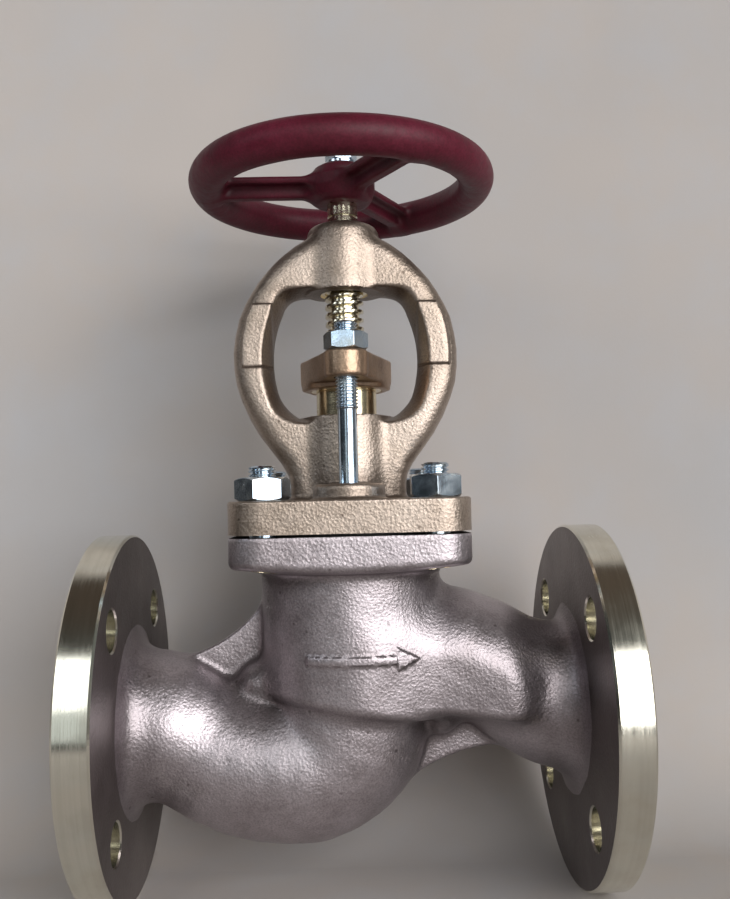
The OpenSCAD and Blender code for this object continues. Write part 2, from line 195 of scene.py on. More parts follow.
def sd_bonnet(X, Y, Z):
    ax, ay = np.abs(X), np.abs(Y)
    r = np.sqrt(X * X + Y * Y)
    d = extrude(rect2(X, Y, 51.9, 51.9, 15), Z - 88.9, 7.95, 1.2)
    col = smax(r - 20 - (133.5 - Z) * 0.012, Z - 135, 0.6)
    d = smin(d, col, 4.5)
    pad = smax(np.sqrt(X * X + (ay - 32) ** 2) - 15.5, Z - 103.4, 2.2)
    d = smin(d, pad, 2.2)
    # yoke frame
    half = np.interp(Z, YO[:, 0], YO[:, 1]).astype(F)
    slope = np.interp(Z, YO[:, 0], np.gradient(YO[:, 1], YO[:, 0])).astype(F)
    outer = np.maximum((ax - half) / np.sqrt(1 + slope * slope), Z - 219)
    side = np.sqrt((ax + 20.3) ** 2 + (Z - 161) ** 2) - 58
    hole = smax(smax(side, Z - 192.5, 4), 132.4 - Z, 9)
    bulge = 4.3 * (1 - np.minimum(ay / 13, 1) ** 2) * ramp(ax, 14, 30)
    yoke = smax(outer + 0.06 * ay, ay - 13, 8)
    yoke = smax(yoke, -(hole + bulge) + 0.05 * ay, 1.6)
    yoke = np.maximum(yoke, 92 - Z)
    d = smin(d, yoke, 3.0)
    # boss round the yoke bush
    boss = smax(r - 16.4 - np.maximum(223 - Z, 0) * 0.02, Z - 223.5, 5)
    boss = np.maximum(boss, 192.4 - Z)
    d = smin(d, boss, 2.6)
    d = np.maximum(d, 80.4 - Z)
    d = d - wavy(X, Y, Z, 0.12)
    # blank raised pads on the arm fronts
    z0, z1 = 157.6, 186.0
    box = np.maximum(np.maximum(np.abs(Z - (z0 + z1) / 2) - (z1 - z0) / 2, np.maximum(33 - ax, ax - half + 4.4)), Y + 3)
    d = smin(d, smax(d - 1.1, box, 0.9), 0.8)
    return d


def sd_gland(X, Y, Z):
    ay = np.abs(Y)
    r = np.sqrt(X * X + Y * Y)
    t = np.clip(ay / 32, 0, 1)
    plan = (np.sqrt(X * X + (ay - 32 * t) ** 2) - (21.1 - 11.6 * t)) * 0.94
    d = extrude(plan, Z - 154, 7, 1.3)
    d = smax(d, smin(149.4 - Z, r - 20.9, 1.5), 1.6)
    return d - wavy(X * 1.3, Y * 1.3, Z * 1.3, 0.10)


WR, RR, WZ = 62.2, 8.2, 243.1


def sd_wheel(X, Y, Z):
    r = np.sqrt(X * X + Y * Y)
    zz = Z - WZ
    rim = np.sqrt((r - WR) ** 2 + zz * zz) - RR
    hr = np.interp(Z, [233, 236.5, 241, 246, 250.2, 252.6], [11.8, 14.2, 15.5, 15.4, 12.8, 8.6]).astype(F)
    d = smax(smax((r - hr) * 0.85, 234 - Z, 1.5), Z - 252.5, 1.2)
    for a in (math.pi, math.pi / 3, -math.pi / 3):
        u = X * math.cos(a) + Y * math.sin(a)
        v = -X * math.sin(a) + Y * math.cos(a)
        bar = extrude(np.abs(v) - 8.0, zz - 1.0, 1.55, 0.9)
        rib = extrude(np.abs(v) - 2.9, zz + 2.3, 3.5, 1.3)
        spoke = smin(bar, rib, 2.2)
        spoke = np.maximum(spoke, np.maximum(6 - u, u - WR))
        d = smin(d, spoke, 4.5)
    d = smin(d, rim, 4.0)
    return d - wavy(X * 0.8, Y * 0.8, Z * 0.8, 0.06)


# ---------------------------------------------------------------- meshing


def closed(P, q):
    """True when every edge of a quad mesh has exactly two faces."""
    e = np.concatenate([np.stack([q[:, i], q[:, (i + 1) % 4]], 1) for i in range(4)]).astype(np.int64)
    e.sort(axis=1)
    return bool((np.unique(e[:, 0] * len(P) + e[:, 1], return_counts=True)[1] == 2).all())


def mesh_field(f, lo, hi, h, margin=2.0):
    """Meshes a field on a grid; a grid that leaves an edge without exactly two faces is shifted and tried again."""
    for k in range(10):
        P, q = surface_net(f, np.array(lo, float) + (0.17 * k % 1.0) * h, hi, h, margin)
        if closed(P, q):
            return P, q
    raise RuntimeError("no closed mesh for " + f.__name__)


def surface_net(f, lo, hi, h, margin):
    """Surface nets over the blocks of a grid that a field's surface crosses, then two Newton steps onto the surface."""
    B = 8
    lo, hi = np.array(lo, float) + 0.013, np.array(hi, float)
    nb = np.ceil((hi - lo) / (B * h)).astype(int)
    N = nb * B + 2
    bi = np.stack(np.meshgrid(*[np.arange(n) for n in nb], indexing="ij"), -1).reshape(-1, 3)
    c = (lo + (bi + 0.5) * B * h).astype(F)
    keep = np.abs(f(c[:, 0], c[:, 1], c[:, 2])) < B * h * 0.88 + margin
    bi = bi[keep]
    off = np.stack(np.meshgrid(*[np.arange(B + 1)] * 3, indexing="ij"), -1)
    cells, verts, quads_src = [], [], []
    for s in range(0, len(bi), 1500):
        g = bi[s:s + 1500, None, None, None, :] * B + off[None]
        P = (lo + g * h).astype(F)
        V = f(P[..., 0], P[..., 1], P[..., 2]).astype(F)
        S = V < 0
        c8 = [(i, j, k) for i in (0, 1) for j in (0, 1) for k in (0, 1)]
        cnt = sum(S[:, i:i + B, j:j + B, k:k + B].astype(np.int8) for i, j, k in c8)
        act = (cnt > 0) & (cnt < 8)
        n, i0, j0, k0 = np.nonzero(act)
        if not len(n):
            continue
        vals = np.stack([V[n, i0 + i, j0 + j, k0 + k] for i, j, k in c8], 1)
        acc = np.zeros((len(n), 3)); num = np.zeros(len(n))
        for a in range(8):
            for b in range(a + 1, 8):
                da = np.array(c8[b]) - np.array(c8[a])
                if np.abs(da).sum() != 1:
                    continue
                va, vb = vals[:, a], vals[:, b]
                m = (va < 0) != (vb < 0)
                t = np.where(m, va / np.where(m, va - vb, 1), 0)
                acc += np.where(m[:, None], np.array(c8[a]) + t[:, None] * da, 0)
                num += m
        gc = bi[s:s + 1500][n] * B + np.stack([i0, j0, k0], 1)
        cells.append(gc)
        verts.append(lo + (gc + acc / num[:, None]) * h)
        quads_src.append(vals)
    gc = np.concatenate(cells); P = np.concatenate(verts); V8 = np.concatenate(quads_src)
    lin = (gc[:, 0] * N[1] + gc[:, 1]) * N[2] + gc[:, 2]
    order = np.argsort(lin)
    gc, P, V8, lin = gc[order], P[order], V8[order], lin[order]

    def find(cc):
        q = (cc[:, 0] * N[1] + cc[:, 1]) * N[2] + cc[:, 2]
        w = np.searchsorted(lin, q)
        w[w >= len(lin)] = 0
        return w, lin[w] == q

    faces = []
    corner = {0: 4, 1: 2, 2: 1}
    for ax in range(3):
        v0, v1 = V8[:, 0], V8[:, corner[ax]]
        m = (v0 < 0) != (v1 < 0)
        idx = np.nonzero(m)[0]
        u, v = (ax + 1) % 3, (ax + 2) % 3
        eu, ev = np.eye(3, dtype=int)[u], np.eye(3, dtype=int)[v]
        a = idx
        b, ok1 = find(gc[idx] - eu)
        c_, ok2 = find(gc[idx] - eu - ev)
        d_, ok3 = find(gc[idx] - ev)
        ok = ok1 & ok2 & ok3
        q = np.stack([a, b, c_, d_], 1)[ok]
        flip = (v0[idx] < 0)[ok]
        q[~flip] = q[~flip][:, ::-1]
        faces.append(q)
    q = np.concatenate(faces)
    for _ in range(2):
        g, val = grad(f, P)
        P = P - np.clip(val[:, None], -h, h) * g * 0.98
    return P, q


def grad(f, P, e=0.06):
    P = P.astype(np.float64)
    x, y, z = P[:, 0], P[:, 1], P[:, 2]
    g = np.stack([f(x + e, y, z) - f(x - e, y, z), f(x, y + e, z) - f(x, y - e, z), f(x, y, z + e) - f(x, y, z - e)], 1)
    n = np.linalg.norm(g, axis=1)
    n[n == 0] = 1
    v = f(x, y, z) / (n / (2 * e))
    return g / n[:, None], v


def push(P):
    P = np.array(P, float)
    return np.stack([P[:, 0], P[:, 1], P[:, 2] + PZ], 1) / 1000.0


def make(name, P, faces, raw=False):
    """A mesh object from millimetre points and a list or array of faces."""
    me = bpy.data.meshes.new(name)
    co = P if raw else push(P)
    if isinstance(faces, np.ndarray):
        n = faces.shape[1]
        me.vertices.add(len(co)); me.vertices.foreach_set("co", np.ascontiguousarray(co, F).ravel())
        me.loops.add(faces.size); me.loops.foreach_set("vertex_index", faces.astype(np.int32).ravel())
        me.polygons.add(len(faces)); me.polygons.foreach_set("loop_start", np.arange(0, faces.size, n, dtype=np.int32))
        me.update(calc_edges=True)
    else:
        me.from_pydata([tuple(c) for c in co], [], faces)
        me.update()
    me.validate()
    ob = bpy.data.objects.new(name, me)
    bpy.context.scene.collection.objects.link(ob)
    return ob


def lathe(name, prof, seg=128, centre=(0, 0), axis=STEM, ang0=0.0):
    """A closed turned solid from (radius, height) points in order round its section. Radius 0 points close on the axis."""
    P, faces, ring = [], [], []
    for r, h in prof:
        if r < 1e-6:
            ring.append((len(P), 1)); P.append((0.0, 0.0, h))
        else:
            ring.append((len(P), seg))
            for i in range(seg):
                a = ang0 + 2 * math.pi * i / seg
                P.append((r * math.cos(a), r * math.sin(a), h))
    m = len(prof)
    for j in range(m):
        (a, na), (b, nb) = ring[j], ring[(j + 1) % m]
        if na == 1 and nb == 1:
            continue
        for i in range(seg):
            k = (i + 1) % seg
            if na == 1:
                faces.append((a, b + k, b + i))
            elif nb == 1:
                faces.append((a + i, a + k, b))
            else:
                faces.append((a + i, a + k, b + k, b + i))
    P = np.array(P)
    if axis == PIPE:
        P = np.stack([P[:, 2], P[:, 0] + centre[0], P[:, 1] + centre[1]], 1)
    else:
        P = P + np.array([centre[0], centre[1], 0])
    ob = make(name, P, faces)
    fix_out(ob)
    return ob


def fix_out(ob):
    """Turns a closed mesh so that its faces point outwards."""
    me = ob.data
    co = np.zeros(len(me.vertices) * 3, F); me.vertices.foreach_get("co", co); co = co.reshape(-1, 3).astype(float)
    me.calc_loop_triangles()
    t = np.zeros(len(me.loop_triangles) * 3, np.int32); me.loop_triangles.foreach_get("vertices", t); t = t.reshape(-1, 3)
    vol = np.einsum("ij,ij->i", co[t[:, 0]], np.cross(co[t[:, 1]], co[t[:, 2]])).sum()
    if vol < 0:
        me.flip_normals()


def boolean(ob, other, op):
    """Applies one boolean to ob, and drops the other object."""
    m = ob.modifiers.new("b", "BOOLEAN")
    m.operation = op
    m.object = other
    was = (len(ob.data.vertices), len(ob.data.polygons))
    for solver in ("MANIFOLD", "EXACT"):
        m.solver = solver
        dg = bpy.context.evaluated_depsgraph_get()
        me = bpy.data.meshes.new_from_object(ob.evaluated_get(dg), depsgraph=dg)
        if len(me.polygons) >= 4 and (len(me.vertices), len(me.polygons)) != was:
            break
        print("boolean", op, "on", ob.name, "with", other.name, "did nothing with", solver)
    else:
        raise RuntimeError(f"boolean {op} on {ob.name} did nothing")
    ob.modifiers.clear()
    old = ob.data
    ob.data = me
    me.name = ob.name
    bpy.data.meshes.remove(old)
    bpy.data.objects.remove(other)
    return ob


def cyl(name, r, h0, h1, centre=(0, 0), axis=STEM, seg=96, ch=0.0, ch_top=None):
    """A cutter: a cylinder that widens by ch at its two mouths, to leave a chamfer."""
    if ch:
        prof = [(0, h0 - 1), (r + ch + 1, h0 - 1), (r, h0 + ch), (r, h1 - ch), (r + ch + 1, h1 + 1), (0, h1 + 1)]
    else:
        prof = [(0, h0), (r, h0), (r, h1), (0, h1)]
    return lathe(name, prof, seg, centre, axis)


def block(name, lo, hi):
    (x0, y0, z0), (x1, y1, z1) = lo, hi
    P = [(x, y, z) for x in (x0, x1) for y in (y0, y1) for z in (z0, z1)]
    ob = make(name, np.array(P), [(0, 1, 3, 2), (4, 6, 7, 5), (0, 4, 5, 1), (2, 3, 7, 6), (0, 2, 6, 4), (1, 5, 7, 3)])
    fix_out(ob)
    return ob


def join(name, obs):
    """One object from several, kept as separate shells."""
    P, faces, base = [], [], 0
    for o in obs:
        me = o.data
        P.append(np.array([v.co for v in me.vertices]))
        faces += [tuple(base + i for i in p.vertices) for p in me.polygons]
        base += len(me.vertices)
        bpy.data.objects.remove(o)
    return make(name, np.concatenate(P), faces, raw=True)


# ---------------------------------------------------------------- threads, nuts, studs


def threaded_rod(name, parts, seg=48):
    """A closed bar along the stem axis. parts lists (z0, z1, radius, pitch, depth, flat): pitch 0 is plain,
    otherwise a right-hand helical screw of that depth runs in it and fades at both ends."""
    rows = []
    P, faces = [], []
    zs = []
    for z0, z1, r, pitch, depth, flat in parts:
        if pitch:
            n = max(4, int(round((z1 - z0) / (pitch / 12.0))))
        else:
            n = 1
        for i in range(n + 1):
            zs.append((z0 + (z1 - z0) * i / n, r, pitch, depth, flat, z0, z1))
    th = np.arange(seg) * 2 * math.pi / seg
    for z, r, pitch, depth, flat, z0, z1 in zs:
        if pitch:
            ph = (z / pitch - th / (2 * math.pi)) % 1.0
            tri = np.abs(ph - 0.5) * 2            # 1 at the crest's middle, 0 in the root
            c = np.clip((tri - (0.5 - 0.5 * flat)) / flat, 0, 1)
            fade = min(1.0, (z - z0) / (pitch * 0.8), (z1 - z) / (pitch * 0.8))
            rr = r - depth * (1 - c) * max(fade, 0)
        else:
            rr = np.full(seg, r)
        P.append(np.stack([rr * np.cos(th), rr * np.sin(th), np.full(seg, z)], 1))
    n = len(P)
    P = np.concatenate(P)
    bot, top = len(P), len(P) + 1
    P = np.concatenate([P, [[0, 0, zs[0][0]], [0, 0, zs[-1][0]]]])
    for j in range(n - 1):
        for i in range(seg):
            k = (i + 1) % seg
            faces.append((j * seg + i, j * seg + k, (j + 1) * seg + k, (j + 1) * seg + i))
    for i in range(seg):
        k = (i + 1) % seg
        faces.append((bot, k, i))
        faces.append((top, (n - 1) * seg + i, (n - 1) * seg + k))
    ob = make(name, P, faces)
    fix_out(ob)
    return ob


def nut(name, af, z, h, hole, rot, centre, washer_face=0.0):
    """A hexagon nut with cone chamfers at both faces and a chamfered bore."""
    c = af / 2 / math.cos(math.pi / 6)
    # hexagon with slightly rounded corners
    pts = []
    for i in range(6):
        a = rot + i * math.pi / 3
        for s in (-1.6, -0.55, 0.55, 1.6):
            b = a + math.radians(s)
            rr = (af / 2) / math.cos(math.radians(30 - abs(s)))
            pts.append((rr * math.cos(b), rr * math.sin(b)))
    n = len(pts)
    P = [(x, y, z) for x, y in pts] + [(x, y, z + h) for x, y in pts]
    faces = [tuple(range(n))[::-1], tuple(range(n, 2 * n))] + [(i, (i + 1) % n, n + (i + 1) % n, n + i) for i in range(n)]
    ob = make(name, np.array(P), faces)
    ob.location = (0, 0, 0)
    fix_out(ob)
    e = c - af * 0.475
    cone = lathe("cone", [(0, z - 0.001), (af * 0.475, z - 0.001), (c + 0.4, z + (e + 0.4) * 0.56), (c + 0.4, z + h - (e + 0.4) * 0.56), (af * 0.475, z + h + 0.001), (0, z + h + 0.001)], 96)
    boolean(ob, cone, "INTERSECT")
    boolean(ob, lathe("hole", [(0, z - 1), (hole + 2.0, z - 1), (hole, z + 1.0), (hole, z + h - 1.0), (hole + 2.0, z + h + 1), (0, z + h + 1)], 64), "DIFFERENCE")
    co = np.zeros(len(ob.data.vertices) * 3, F); ob.data.vertices.foreach_get("co", co)
    co = co.reshape(-1, 3); co[:, 0] += centre[0] / 1000; co[:, 1] += centre[1] / 1000
    ob.data.vertices.foreach_set("co", co.ravel()); ob.data.update()
    return ob


def shift(ob, x, y):
    me = ob.data
    co = np.zeros(len(me.vertices) * 3, F); me.vertices.foreach_get("co", co)
    co = co.reshape(-1, 3); co[:, 0] += x / 1000; co[:, 1] += y / 1000
    me.vertices.foreach_set("co", co.ravel()); me.update()
    return ob


def smooth(ob, angle=32):
    me = ob.data
    me.polygons.foreach_set("use_smooth", np.ones(len(me.polygons), bool))
    me.set_sharp_from_angle(angle=math.radians(angle))
    me.update()
    return ob


# ---------------------------------------------------------------- materials


class Mat:
    """A small helper to wire a node material."""

    def __init__(self, name):
        self.m = bpy.data.materials.new(name)
        self.m.use_nodes = True
        self.t = self.m.node_tree
        self.b = self.t.nodes["Principled BSDF"]
        self.co = self.n("ShaderNodeTexCoord").outputs["Object"]

    def n(self, kind, **props):
        x = self.t.nodes.new(kind)
        for k, v in props.items():
            setattr(x, k, v)
        return x

    def link(self, a, b):
        self.t.links.new(a, b)

    def math(self, op, a, b=None, c=None, clamp=False):
        x = self.n("ShaderNodeMath", operation=op)
        x.use_clamp = clamp
        for i, v in enumerate((a, b, c)):
            if v is None:
                continue
            if isinstance(v, (int, float)):
                x.inputs[i].default_value = v
            else:
                self.link(v, x.inputs[i])
        return x.outputs[0]

    def noise(self, scale, detail=3, rough=0.55, vec=None, dist=0.0):
        x = self.n("ShaderNodeTexNoise")
        x.inputs["Scale"].default_value = scale
        x.inputs["Detail"].default_value = detail
        x.inputs["Roughness"].default_value = rough
        x.inputs["Distortion"].default_value = dist
        self.link(vec or self.co, x.inputs["Vector"])
        return x.outputs["Fac"]

    def voronoi(self, scale, vec=None, feature="F1", rnd=1.0):
        x = self.n("ShaderNodeTexVoronoi", feature=feature)
        x.inputs["Scale"].default_value = scale
        x.inputs["Randomness"].default_value = rnd
        self.link(vec or self.co, x.inputs["Vector"])
        return x.outputs["Distance"]

    def ramp(self, fac, stops, interp="LINEAR"):
        x = self.n("ShaderNodeValToRGB")
        cr = x.color_ramp
        cr.interpolation = interp
        while len(cr.elements) < len(stops):
            cr.elements.new(0.5)
        for e, (p, c) in zip(cr.elements, stops):
            e.position = p
            e.color = (*c, 1) if len(c) == 3 else c
        self.link(fac, x.inputs[0])
        return x.outputs[0]

    def mix(self, fac, a, b, mode="MIX"):
        x = self.n("ShaderNodeMix", data_type="RGBA", blend_type=mode)
        ins = {"f": x.inputs[0], "a": x.inputs[6], "b": x.inputs[7]}
        for k, v in (("f", fac), ("a", a), ("b", b)):
            if isinstance(v, (int, float)):
                ins[k].default_value = v
            elif isinstance(v, tuple):
                ins[k].default_value = (*v, 1)
            else:
                self.link(v, ins[k])
        return x.outputs[2]

    def remap(self, v, a, b, c, d):
        x = self.n("ShaderNodeMapRange")
        for i, q in zip((1, 2, 3, 4), (a, b, c, d)):
            x.inputs[i].default_value = q
        self.link(v, x.inputs[0])
        return x.outputs[0]

    def bump(self, height, strength, dist, prev=None):
        x = self.n("ShaderNodeBump")
        x.inputs["Strength"].default_value = strength
        x.inputs["Distance"].default_value = dist
        self.link(height, x.inputs["Height"])
        if prev is not None:
            self.link(prev, x.inputs["Normal"])
        return x.outputs["Normal"]

    def attr(self, name):
        x = self.n("ShaderNodeAttribute", attribute_name=name)
        return x.outputs["Fac"]

    def set(self, **kw):
        names = {"base": "Base Color", "metal": "Metallic", "rough": "Roughness", "normal": "Normal", "spec": "Specular IOR Level",
                 "coat": "Coat Weight", "coat_rough": "Coat Roughness", "aniso": "Anisotropic"}
        for k, v in kw.items():
            s = self.b.inputs[names[k]]
            if isinstance(v, (int, float)):
                s.default_value = v
            elif isinstance(v, tuple):
                s.default_value = (*v, 1)
            else:
                self.link(v, s)
        return self.m


def cast_metal(name, light, mid, dark, rough=0.5, metal=0.75, grain=1.0, pit_and_shade_colour=(0.05, 0.035, 0.03)):
    """Sand-cast metal: fine sand grain, cloudy tone, small dark pits, and painted shade, partly grime, in hollows."""
    k = Mat(name)
    big = k.noise(26, 3, 0.55)
    midn = k.noise(120, 4, 0.6)
    fine = k.noise(1150, 3, 0.62)
    pits = k.voronoi(720)
    rare = k.voronoi(95)
    base = k.ramp(k.math("ADD", k.math("MULTIPLY", big, 0.7), k.math("MULTIPLY", midn, 0.3)), [(0.34, dark), (0.5, mid), (0.66, light)])
    spk = k.ramp(fine, [(0.34, (0.72, 0.72, 0.72)), (0.52, (1, 1, 1)), (0.7, (1.22, 1.20, 1.2))])
    base = k.mix(0.75, base, spk, "MULTIPLY")
    # scattered small dark pits
    base = k.mix(k.remap(rare, 0.03, 0.10, 0.6, 0.0), base, pit_and_shade_colour)
    # painted shade in hollows, partly grime, from the corner attribute
    shade_grime = k.attr("shade_grime")
    base = k.mix(k.math("MULTIPLY", shade_grime, 0.8, clamp=True), base, pit_and_shade_colour)
    h = k.math("ADD", k.math("MULTIPLY", fine, 0.55), k.math("MULTIPLY", pits, 0.45))
    nrm = k.bump(midn, 0.07, 0.0010)
    nrm = k.bump(h, 0.8 * grain, 0.00030, nrm)
    rgh = k.remap(k.math("ADD", k.math("MULTIPLY", fine, 0.5), k.math("MULTIPLY", midn, 0.5)), 0.3, 0.7, rough - 0.08, rough + 0.10)
    return k.set(base=base, metal=metal, rough=rgh, normal=nrm)


def turned(name, axis, base=(0.80, 0.69, 0.44), tint=(0.62, 0.50, 0.28), rough=0.2, lines=1.0, stain=0.5):
    """Turned metal: fine tool marks that run round the axis."""
    k = Mat(name)
    sep = k.n("ShaderNodeSeparateXYZ"); k.link(k.co, sep.inputs[0])
    x, y, z = sep.outputs
    if axis == PIPE:
        a, u, v = x, y, k.math("SUBTRACT", z, PZ / 1000.0)
    else:
        a, u, v = z, x, y
    rad = k.math("SQRT", k.math("ADD", k.math("MULTIPLY", u, u), k.math("MULTIPLY", v, v)))
    ang = k.math("ARCTAN2", u, v)
    cb = k.n("ShaderNodeCombineXYZ")
    k.link(k.math("MULTIPLY", rad, 1000.0), cb.inputs[0])
    k.link(k.math("MULTIPLY", a, 1000.0), cb.inputs[1])
    k.link(k.math("MULTIPLY", ang, 0.8), cb.inputs[2])
    fine = k.noise(2.6, 2, 0.6, cb.outputs[0])
    coarse = k.noise(0.4, 3, 0.6, cb.outputs[0])
    blot = k.noise(48, 4, 0.6)
    col = k.mix(k.remap(blot, 0.42, 0.64, 0, stain), base, tint)
    col = k.mix(k.remap(coarse, 0.4, 0.7, 0, 0.2), col, tuple(c * 0.7 for c in tint))
    rgh = k.math("ADD", k.remap(fine, 0.3, 0.7, rough - 0.04, rough + 0.05), k.remap(blot, 0.4, 0.7, 0, 0.10))
    nrm = k.bump(fine, 0.16 * lines, 0.00005)
    nrm = k.bump(coarse, 0.14 * lines, 0.00012, nrm)
    return k.set(base=col, metal=1.0, rough=rgh, normal=nrm)


def zinc_mat(name, base=(0.58, 0.68, 0.78), tint=(0.66, 0.67, 0.60), rough=0.2):
    """Bright zinc plating with a blue passivation."""
    k = Mat(name)
    a = k.noise(150, 3, 0.6); b = k.noise(1100, 2, 0.5); c = k.noise(60, 2, 0.5)
    col = k.mix(k.remap(a, 0.45, 0.65, 0, 0.4), base, tint)
    col = k.mix(k.remap(c, 0.45, 0.7, 0, 0.5), col, (0.34, 0.50, 0.68))
    nrm = k.bump(b, 0.2, 0.00008)
    rgh = k.remap(a, 0.35, 0.7, rough - 0.05, rough + 0.10)
    return k.set(base=col, metal=1.0, rough=rgh, normal=nrm)


def paint_mat(name):
    """Brushed-on enamel over a casting."""
    k = Mat(name)
    a = k.noise(40, 3, 0.55); b = k.noise(260, 3, 0.55); c = k.noise(1000, 2, 0.5)
    col = k.ramp(k.math("ADD", k.math("MULTIPLY", a, 0.65), k.math("MULTIPLY", b, 0.35)), [(0.32, (0.070, 0.006, 0.014)), (0.52, (0.100, 0.009, 0.022)), (0.72, (0.132, 0.014, 0.032))])
    spk = k.ramp(c, [(0.34, (0.75, 0.75, 0.75)), (0.52, (1, 1, 1)), (0.7, (1.2, 1.2, 1.2))])
    col = k.mix(0.7, col, spk, "MULTIPLY")
    # painted shade in hollows, partly grime, darkens the enamel
    shade_grime = k.attr("shade_grime")
    col = k.mix(k.math("MULTIPLY", shade_grime, 0.8, clamp=True), col, (0.02, 0.004, 0.006))
    nrm = k.bump(b, 0.3, 0.0005)
    nrm = k.bump(c, 0.2, 0.00022, nrm)
    rgh = k.remap(b, 0.3, 0.7, 0.42, 0.56)
    return k.set(base=col, metal=0.0, rough=rgh, normal=nrm, spec=0.28)


def plain_mat(name, c0, c1, scale, rough, bump=0.3, dist=0.0002, metal=0.0):
    k = Mat(name)
    a = k.noise(scale, 4, 0.6); b = k.noise(scale * 6, 2, 0.6)
    nrm = k.bump(b, bump, dist)
    return k.set(base=k.ramp(a, [(0.35, c0), (0.65, c1)]), metal=metal, rough=k.remap(b, 0.3, 0.7, rough - 0.06, rough + 0.08), normal=nrm)


M = {
    "body": cast_metal("cast_bronze_body", (0.60, 0.545, 0.575), (0.50, 0.45, 0.474), (0.39, 0.345, 0.36), rough=0.37, metal=0.90),
    "bonnet": cast_metal("cast_bronze_bonnet", (0.56, 0.472, 0.405), (0.465, 0.384, 0.322), (0.355, 0.286, 0.23), rough=0.38, metal=0.88, pit_and_shade_colour=(0.07, 0.045, 0.03)),
    "gland": cast_metal("cast_bronze_gland", (0.58, 0.42, 0.30), (0.46, 0.32, 0.22), (0.30, 0.195, 0.13), rough=0.34, metal=0.9, grain=0.6),
    # flat backs of the line flanges: a darker copy of the body bronze, painted shade, partly a darker skin
    "flange_back": cast_metal("flange_back_shaded_bronze", (0.25, 0.215, 0.21), (0.19, 0.162, 0.156), (0.13, 0.108, 0.102), rough=0.34, metal=0.86, grain=0.7),
    "brass_pipe": turned("turned_flange", PIPE, base=(0.82, 0.80, 0.70), tint=(0.66, 0.63, 0.52), rough=0.14),
    "brass": turned("turned_brass", STEM, base=(0.80, 0.70, 0.48), tint=(0.66, 0.54, 0.34), rough=0.18, stain=0.35),
    "stem": turned("turned_stem", STEM, base=(0.80, 0.75, 0.60), tint=(0.64, 0.56, 0.40), rough=0.16, lines=0.7, stain=0.4),
    "zinc": zinc_mat("zinc_plate"),
    "steel": plain_mat("turned_steel", (0.42, 0.42, 0.43), (0.58, 0.58, 0.60), 200, 0.3, metal=1.0),
    "gasket": plain_mat("graphite_sheet", (0.02, 0.02, 0.022), (0.045, 0.042, 0.04), 300, 0.6),
    "packing": plain_mat("graphite_braid", (0.03, 0.03, 0.032), (0.08, 0.08, 0.085), 420, 0.6, bump=0.8, dist=0.0006),
    "paint": paint_mat("maroon_enamel"),
    "inside": cast_metal("cast_inside", (0.30, 0.23, 0.21), (0.22, 0.165, 0.15), (0.14, 0.10, 0.09), rough=0.55, metal=0.7),
    # mating faces of the bonnet joint, coloured near black: painted shade in the joint gap
    "joint": plain_mat("joint_face_shade", (0.05, 0.04, 0.034), (0.10, 0.08, 0.066), 260, 0.5, metal=0.6),
}


def give(ob, *keys):
    ob.data.materials.clear()
    for key in keys:
        ob.data.materials.append(M[key])


def arrays(me):
    n, l, p = len(me.vertices), len(me.loops), len(me.polygons)
    co = np.zeros(n * 3, F); me.vertices.foreach_get("co", co)
    li = np.zeros(l, np.int32); me.loops.foreach_get("vertex_index", li)
    ls = np.zeros(p, np.int32); me.polygons.foreach_get("loop_start", ls)
    lt = np.zeros(p, np.int32); me.polygons.foreach_get("loop_total", lt)
    nr = np.zeros(p * 3, F); me.polygons.foreach_get("normal", nr)
    ce = np.zeros(p * 3, F); me.polygons.foreach_get("center", ce)
    co = co.reshape(-1, 3).astype(float) * 1000; co[:, 2] -= PZ
    ce = ce.reshape(-1, 3).astype(float) * 1000; ce[:, 2] -= PZ
    return co, li, ls, lt, nr.reshape(-1, 3).astype(float), ce


